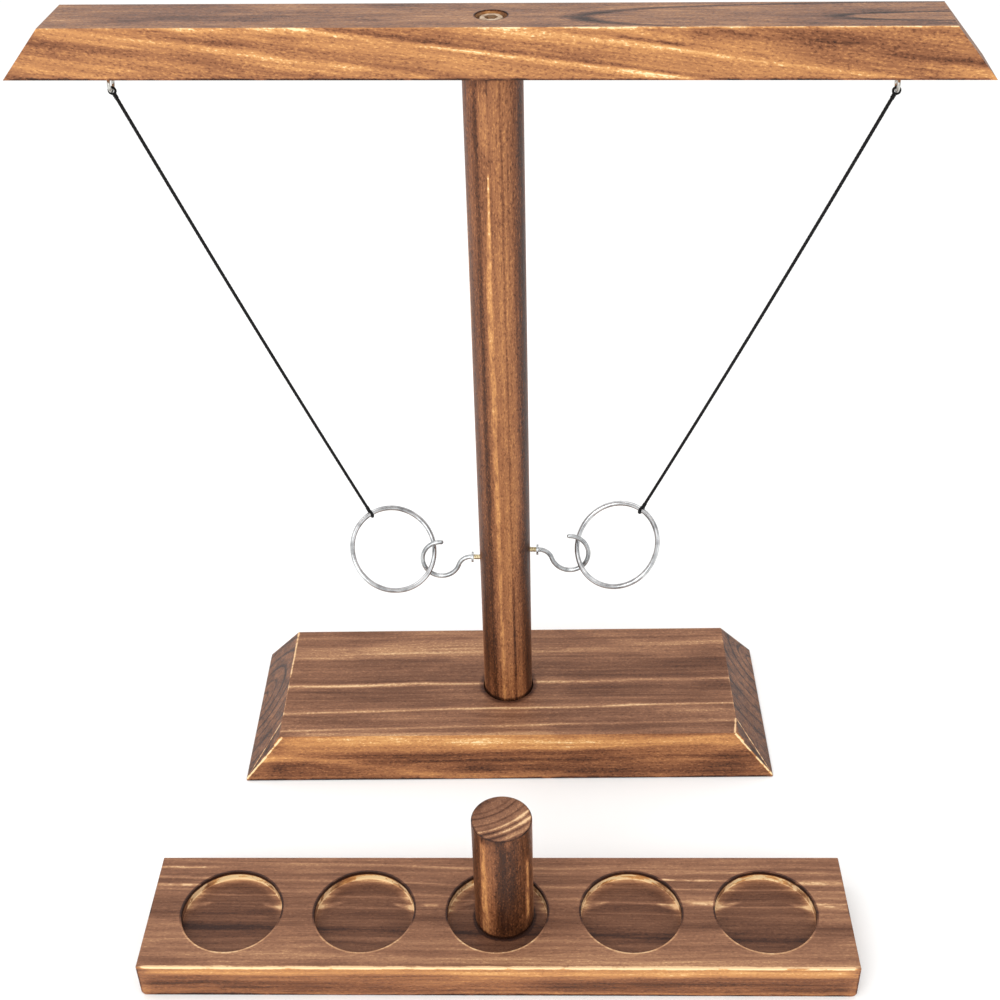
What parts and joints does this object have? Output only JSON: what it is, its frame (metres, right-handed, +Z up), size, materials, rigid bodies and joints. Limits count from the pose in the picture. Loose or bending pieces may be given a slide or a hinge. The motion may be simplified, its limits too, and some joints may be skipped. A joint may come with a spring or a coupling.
{
  "type": "ring toss battle game",
  "caption": "Timber post and crossbeam on a bevelled base; steel rings hang on cords and catch on hooks in the post; a recessed ladder board with a loose peg stands in front.",
  "frame": {"origin": "on the table, under the axis of the post", "axes": "+X along the base to the right as the players' ladder board is seen in front, +Y away from the ladder board, +Z up"},
  "size_m": [0.399, 0.2332, 0.3836],
  "materials": {
    "charred_softwood": "torched and brushed softwood under a thin clear oil",
    "zinc_steel": "zinc plated, bright",
    "bright_steel": "nickel plated wire, polished",
    "brass": "turned, bare",
    "black_cord": "twisted polyester cord, matt"
  },
  "bodies": {
    "stand": {"base": "charred_softwood", "post": "charred_softwood", "beam": "charred_softwood", "top_bolt": "zinc_steel", "top_insert": "brass", "base_bolt": "zinc_steel", "base_insert": "brass", "left_hook": "bright_steel", "right_hook": "bright_steel", "left_eye_screw": "zinc_steel", "right_eye_screw": "zinc_steel"},
    "left_cord": {"left_string": "black_cord", "left_top_loop": "black_cord", "left_ring_loop": "black_cord"},
    "right_cord": {"right_string": "black_cord", "right_top_loop": "black_cord", "right_ring_loop": "black_cord"},
    "left_ring": {"left_ring": "bright_steel"},
    "right_ring": {"right_ring": "bright_steel"},
    "ladder": {"ladder_board": "charred_softwood"},
    "peg": {"peg": "charred_softwood"}
  },
  "joints": [
    {"name": "left_swing", "type": "hinge", "parent": "stand", "child": "left_cord", "pos_m": [-0.1594, 0.00807, 0.3526], "axis": [-0.0506, -0.9987, 0], "range_deg": [0, 5]},
    {"name": "left_ring_turn", "type": "hinge", "parent": "left_cord", "child": "left_ring", "pos_m": [-0.05596, 0.00023, 0.1165], "axis": [-0.3378, 0.607, -0.7193], "continuous": true},
    {"name": "right_swing", "type": "hinge", "parent": "stand", "child": "right_cord", "pos_m": [0.16339, -0.00828, 0.3526], "axis": [0.0506, 0.9987, 0], "range_deg": [0, 5]},
    {"name": "right_ring_turn", "type": "hinge", "parent": "right_cord", "child": "right_ring", "pos_m": [0.05569, -0.00542, 0.1219], "axis": [0.3974, 0.5697, -0.7193], "continuous": true},
    {"name": "ladder_lift", "type": "slide", "parent": "stand", "child": "ladder", "axis": [0, 0, 1], "range_m": [0, 0.1]},
    {"name": "peg_lift", "type": "slide", "parent": "ladder", "child": "peg", "axis": [0, 0, 1], "range_m": [0, 0.08]}
  ]
}
